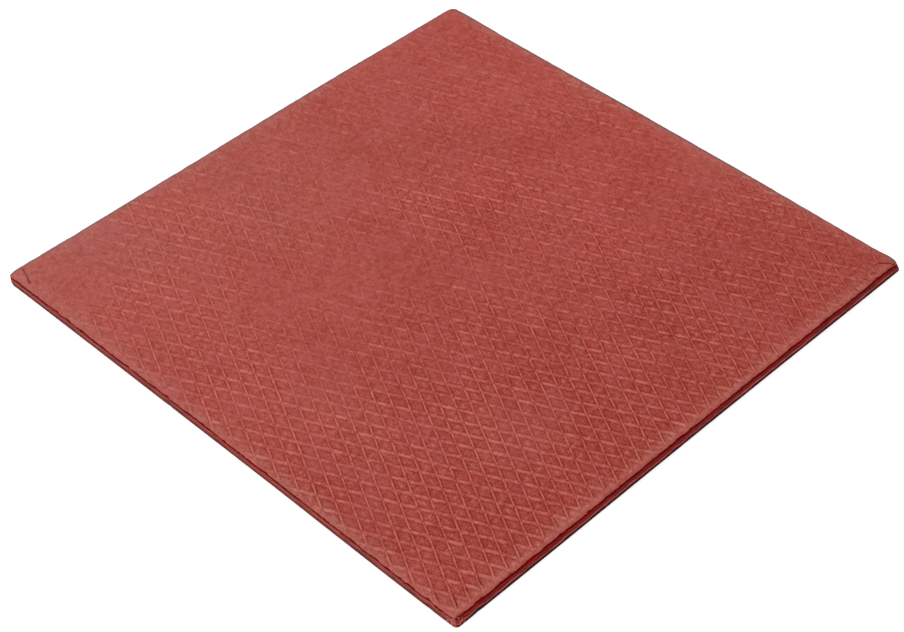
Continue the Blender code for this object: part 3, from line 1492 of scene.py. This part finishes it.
@dataclass(frozen=True)
class ThermalPad:
    """The sheet itself: one closed mesh of the embossed face, the cut wall and the underside."""

    name: str = "thermal_pad_sheet"
    wall: CutWall = CutWall()
    face: EmbossedFace = EmbossedFace()
    field_inset: float = 1.1 * MM
    rim_insets: tuple[float, ...] = (0.70 * MM, 0.45 * MM, 0.28 * MM, 0.14 * MM, 0.05 * MM)
    margin: float = 0.7 * MM
    weld: float = 0.02 * MM
    trim_snap: float = 1e-7
    crease_reach: float = 0.9 * MM
    crease_cuts: int = 3
    level_slack: float = 0.001 * MM
    sharp_angle: float = math.radians(50)

    def build(self) -> bpy.types.Object:
        """Build the sheet's mesh and shape its face.

        Returns:
            The sheet as an object, in the frame's own place.
        """
        shape = bmesh.new()
        chain = self.add_field(shape)
        for inset in self.rim_insets:
            ring = self.add_ring(shape, self.wall.thickness, inset, inset)
            if len(chain) == len(ring):
                self.add_band(shape, chain, ring, FaceZone.EMBOSSED)
            else:
                self.zip_chains(shape, chain, ring)
            chain = ring
        for height, inset in self.wall.section():
            ring = self.add_ring(shape, height, inset, 0.0)
            self.add_band(shape, chain, ring, FaceZone.CUT)
            chain = ring
        shape.faces.new(chain).material_index = FaceZone.UNDERSIDE
        bmesh.ops.recalc_face_normals(shape, faces=shape.faces)
        mesh = bpy.data.meshes.new(self.name)
        shape.to_mesh(mesh)
        shape.free()
        self.settle(mesh)
        mesh.shade_smooth()
        mesh.set_sharp_from_angle(angle=self.sharp_angle)
        pad = bpy.data.objects.new(self.name, mesh)
        bpy.context.scene.collection.objects.link(pad)
        return pad

    def add_field(self, shape: Shape) -> Verts:
        """Add the flat mesh that follows the lattice, trimmed to a square inside the rim.

        Args:
            shape: The bmesh that the field goes into.

        Returns:
            The vertices along the trimmed edge, anticlockwise.
        """
        half_x = self.wall.width / 2 - self.field_inset
        half_y = self.wall.length / 2 - self.field_inset
        shift = Vector((0, self.wall.shift(self.wall.thickness), 0))
        mesh = self.lattice_mesh(half_x + self.margin, half_y + self.margin)
        shape.from_mesh(mesh)
        bpy.data.meshes.remove(mesh)
        self.refine(shape)
        sides = (((1, 0, 0), half_x), ((-1, 0, 0), half_x), ((0, 1, 0), half_y), ((0, -1, 0), half_y))
        for outward, reach in sides:
            parts = shape.verts[:] + shape.edges[:] + shape.faces[:]
            point = Vector(outward) * reach + shift
            bmesh.ops.bisect_plane(shape, geom=parts, dist=self.trim_snap, plane_co=point, plane_no=outward,
                                   clear_outer=True)
        edge = [vert for vert in shape.verts if vert.is_boundary]
        bmesh.ops.remove_doubles(shape, verts=edge, dist=self.weld)
        for label in ("rim", "level"):
            shape.verts.layers.float.new(label)
        rim_layer = shape.verts.layers.float["rim"]
        places = np.array([vert.co[:2] for vert in shape.verts])
        for vert, rim in zip(shape.verts, self.wall.rim_distance(places[:, 0], places[:, 1]).tolist()):
            vert[rim_layer] = rim
        edge = [vert for vert in shape.verts if vert.is_boundary]
        return sorted(edge, key=lambda vert: math.atan2(vert.co.y, vert.co.x))

    def lattice_mesh(self, reach_x: float, reach_y: float) -> bpy.types.Mesh:
        """Build the flat mesh of the lattice's cells.

        Args:
            reach_x: How far out the mesh reaches along X.
            reach_y: How far out it reaches along Y.

        Returns:
            The mesh, at the height of the top face.
        """
        lattice = self.face.lattice
        corner_x = np.array([-reach_x, reach_x, reach_x, -reach_x])
        corner_y = np.array([-reach_y, -reach_y, reach_y, reach_y])
        corner_a, corner_b = lattice.place(corner_x, corner_y)
        a_lines = self.spread_lines(corner_a, self.face.mesh_lines(self.face.broad_half, halfway=True))
        b_lines = self.spread_lines(corner_b, self.face.mesh_lines(self.face.fine_half, halfway=False))
        grid_a, grid_b = np.meshgrid(a_lines, b_lines, indexing="ij")
        x, y = lattice.plan(grid_a, grid_b)
        inside = (np.abs(x) < reach_x) & (np.abs(y) < reach_y)
        kept = inside[:-1, :-1] | inside[1:, :-1] | inside[1:, 1:] | inside[:-1, 1:]
        number = np.arange(x.size).reshape(x.shape)
        corners = (number[:-1, :-1], number[1:, :-1], number[1:, 1:], number[:-1, 1:])
        quads = np.column_stack([corner[kept] for corner in corners])
        used, quads_used = np.unique(quads, return_inverse=True)
        height = np.full(used.size, self.wall.thickness)
        points = np.column_stack((x.ravel()[used], y.ravel()[used], height))
        mesh = bpy.data.meshes.new("lattice_field")
        mesh.from_pydata(points.tolist(), [], quads_used.reshape(quads.shape).tolist())
        return mesh

    @staticmethod
    def spread_lines(corners: Numbers, shares: list[float]) -> Numbers:
        """Return the mesh lines of every cell between two corners, and of one cell beyond each."""
        cells = np.arange(math.floor(corners.min()) - 1, math.ceil(corners.max()) + 2)
        return (cells[:, None] + np.array(shares)[None, :]).ravel()

    def refine(self, shape: Shape) -> None:
        """Cut the flat mesh finer beside the creases, so that they keep their narrow form.

        Args:
            shape: The bmesh of the field.
        """
        shape.verts.index_update()
        places = np.array([vert.co[:2] for vert in shape.verts])
        close = np.zeros(len(places), bool)
        for crease in CREASES:
            close |= crease.distance(places[:, 0], places[:, 1]) < self.crease_reach
        edges = [edge for edge in shape.edges if all(close[vert.index] for vert in edge.verts)]
        bmesh.ops.subdivide_edges(shape, edges=edges, cuts=self.crease_cuts, use_grid_fill=True)

    def add_ring(self, shape: Shape, height: float, inset: float, rim: float) -> Verts:
        """Add one loop of the wall or of the rim.

        Args:
            shape: The bmesh that the loop goes into.
            height: How high the loop lies above the base, where no corner is pressed down.
            inset: How far it stands in from the widest outline.
            rim: How far inside the lip it lies.

        Returns:
            The loop's vertices, anticlockwise.
        """
        rim_layer = shape.verts.layers.float["rim"]
        level_layer = shape.verts.layers.float["level"]
        ring = [shape.verts.new(point) for point in self.wall.loop(height, inset).tolist()]
        for vert in ring:
            vert[rim_layer] = rim
            vert[level_layer] = height
        return ring

    @staticmethod
    def add_band(shape: Shape, inner: Verts, outer: Verts, zone: FaceZone) -> None:
        """Add a band of quads between two loops with as many vertices.

        Args:
            shape: The bmesh that holds both loops.
            inner: The inner or upper loop.
            outer: The outer or lower loop.
            zone: The zone that the band belongs to.
        """
        for index in range(len(inner)):
            following = (index + 1) % len(inner)
            face = shape.faces.new((inner[index], outer[index], outer[following], inner[following]))
            face.material_index = zone

    def zip_chains(self, shape: Shape, inner: Verts, outer: Verts) -> None:
        """Add a band of triangles between two closed chains with different numbers of vertices.

        Args:
            shape: The bmesh that holds both chains.
            inner: The inner chain's vertices, anticlockwise.
            outer: The outer chain's vertices, anticlockwise.
        """
        first, second = self.turned(inner), self.turned(outer)
        at, to = 0, 0
        while at < len(first) or to < len(second):
            next_at = first[at + 1][0] if at + 1 < len(first) else first[0][0] + math.tau
            next_to = second[to + 1][0] if to + 1 < len(second) else second[0][0] + math.tau
            near = first[at % len(first)][1]
            far = second[to % len(second)][1]
            if to >= len(second) or (at < len(first) and next_at <= next_to):
                at += 1
                shape.faces.new((near, far, first[at % len(first)][1]))
            else:
                to += 1
                shape.faces.new((near, far, second[to % len(second)][1]))

    @staticmethod
    def turned(chain: Verts) -> list[tuple[float, bmesh.types.BMVert]]:
        """Turn a closed chain so that it starts at its lowest angle round the middle.

        Args:
            chain: The chain's vertices, anticlockwise.

        Returns:
            Pairs of angle and vertex.
        """
        angles = [(math.atan2(vert.co.y, vert.co.x), vert) for vert in chain]
        first = min(range(len(chain)), key=lambda index: angles[index][0])
        return angles[first:] + angles[:first]

    def settle(self, mesh: bpy.types.Mesh) -> None:
        """Press the relief into the face, and keep what the embossed finish reads from the mesh.

        Args:
            mesh: The sheet's mesh, with a flat top.
        """
        face = self.face
        points = np.empty(len(mesh.vertices) * 3, np.float32)
        mesh.vertices.foreach_get("co", points)
        points = points.reshape(-1, 3).astype(float)
        x, y = points[:, 0], points[:, 1]
        rim = np.empty(len(mesh.vertices), np.float32)
        mesh.attributes["rim"].data.foreach_get("value", rim)
        on_face = points[:, 2] > self.wall.thickness - self.level_slack
        points[on_face, 2] += face.height(x[on_face], y[on_face], rim[on_face])
        mesh.vertices.foreach_set("co", points.ravel())
        # How deep each crease lies, which the embossed finish paints as shade
        crease = sum(mark.sink(x, y) / mark.depth for mark in CREASES) * on_face
        self.note(mesh, "lattice", *face.lattice.place(x, y), np.zeros_like(x))
        self.note(mesh, "emboss", *face.strengths(x, y, rim), np.clip(crease, 0.0, 1.0))
        self.note(mesh, "cast", face.haze_and_sheen(x, y, rim), face.shade(x, y, rim), face.far_rim_shade(x, y, rim))
        mesh.update()

    @staticmethod
    def note(mesh: bpy.types.Mesh, name: str, *parts: Numbers) -> None:
        """Keep three numbers for each vertex on the mesh, as a vector attribute."""
        attribute = mesh.attributes.new(name, "FLOAT_VECTOR", "POINT")
        attribute.data.foreach_set("vector", np.column_stack(parts).ravel())

    def dress(self, pad: bpy.types.Object, effects: SharedEffects) -> None:
        """Give each zone of the sheet its finish, in the order of the zones."""
        for finish in (EmbossedFinish(self.face), CutFinish(), UndersideFinish()):
            pad.data.materials.append(finish.material(effects))

    def mount(self, pad: bpy.types.Object) -> None:
        """Put the sheet in the place of the plain solid and let it ride on the body.

        Args:
            pad: The sheet as an object.
        """
        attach(pad, "root")
        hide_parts(PAD_NODE)


@dataclass(frozen=True)
class Softbox:
    """A square soft light that looks at the sheet, with its angles in degrees."""

    name: str
    azimuth: float
    elevation: float
    distance: float
    size: float
    power: float

    def build(self) -> bpy.types.Object:
        """Build the light and aim it at the origin.

        Returns:
            The light as an object.
        """
        light = bpy.data.lights.new(self.name, "AREA")
        light.shape = "SQUARE"
        light.size = self.size
        light.energy = self.power
        lamp = bpy.data.objects.new(self.name, light)
        azimuth = math.radians(self.azimuth)
        elevation = math.radians(self.elevation)
        flat = math.cos(elevation)
        away = Vector((flat * math.cos(azimuth), flat * math.sin(azimuth), math.sin(elevation)))
        lamp.location = away * self.distance
        lamp.rotation_euler = away.to_track_quat("Z", "Y").to_euler()
        bpy.context.scene.collection.objects.link(lamp)
        return lamp


@dataclass(frozen=True)
class Studio:
    """A pale floor, soft light from the side, from behind and from all round, and the camera."""

    floor_half: float = 3.0
    floor_gap: float = 0.02 * MM
    floor_tint: Color = (0.90, 0.90, 0.90)
    floor_glow: float = 0.35
    floor_roughness: float = 0.9
    floor_specular: float = 0.1
    floor_cloud: float = 0.4
    floor_spread: Span = (0.99, 1.01)
    sky: float = 0.45
    softboxes: tuple[Softbox, ...] = (
        Softbox("key_softbox", 180, 52, 1.8, 1.2, 19.5),
        Softbox("back_softbox", 75, 30, 0.9, 0.5, 3.0),
    )
    view_x: float = -177.51 * MM
    view_y: float = -182.15 * MM
    view_z: float = 233.61 * MM
    view_yaw: float = math.radians(-44.166)
    view_pitch: float = math.radians(46.389)
    view_roll: float = math.radians(-1.4325)
    lens_mm: float = 86.52
    sensor_mm: float = 36.0
    clip_start: float = 1 * MM

    def build(self) -> None:
        """Build the floor, the light and the camera."""
        self.build_floor()
        for softbox in self.softboxes:
            softbox.build()
        self.build_sky()
        self.build_camera()

    def build_floor(self) -> None:
        """Build the floor just under the sheet."""
        reach = self.floor_half
        corners = [(-reach, -reach), (reach, -reach), (reach, reach), (-reach, reach)]
        mesh = bpy.data.meshes.new("studio_floor")
        mesh.from_pydata([(x, y, -self.floor_gap) for x, y in corners], [], [(0, 1, 2, 3)])
        material, sketch, shader = start_finish("pale_floor")
        tone = sketch.spread(sketch.noise(self.floor_cloud), *self.floor_spread)
        sketch.feed(shader.inputs["Base Color"], sketch.blend(1.0, self.floor_tint, tone, "MULTIPLY"))
        sketch.feed(shader.inputs["Roughness"], self.floor_roughness)
        sketch.feed(shader.inputs["Specular IOR Level"], self.floor_specular)
        sketch.feed(shader.inputs["Emission Color"], WHITE)
        sketch.feed(shader.inputs["Emission Strength"], self.floor_glow)
        mesh.materials.append(material)
        floor = bpy.data.objects.new("studio_floor", mesh)
        bpy.context.scene.collection.objects.link(floor)

    def build_sky(self) -> None:
        """Light the whole scene evenly."""
        world = bpy.data.worlds.new("studio_sky")
        world.use_nodes = True
        background = world.node_tree.nodes["Background"]
        background.inputs["Color"].default_value = (*WHITE, 1.0)
        background.inputs["Strength"].default_value = self.sky
        bpy.context.scene.world = world
        bpy.context.scene.view_settings.view_transform = "Standard"

    def build_camera(self) -> None:
        """Set the camera where the sheet is seen from a corner, from above."""
        data = bpy.data.cameras.new("view_camera")
        data.lens = self.lens_mm
        data.sensor_width = self.sensor_mm
        data.clip_start = self.clip_start
        camera = bpy.data.objects.new("view_camera", data)
        turn = Matrix.Rotation(self.view_yaw, 4, "Z") @ Matrix.Rotation(self.view_pitch, 4, "X")
        turn = turn @ Matrix.Rotation(self.view_roll, 4, "Z")
        camera.matrix_world = Matrix.Translation((self.view_x, self.view_y, self.view_z)) @ turn
        bpy.context.scene.collection.objects.link(camera)
        bpy.context.scene.camera = camera


def main() -> None:
    """Build the sheet and its studio."""
    logging.basicConfig(level=logging.INFO, format="%(message)s")
    pad_maker = ThermalPad()
    pad = pad_maker.build()
    pad_maker.dress(pad, SharedEffects.build())
    pad_maker.mount(pad)
    mesh = pad.data
    mesh.calc_loop_triangles()
    log.info("%s: %d vertices, %d triangles", pad.name, len(mesh.vertices), len(mesh.loop_triangles))
    Studio().build()
    log.info("studio: floor, two softboxes, sky and camera")


if __name__ == "__main__":
    main()
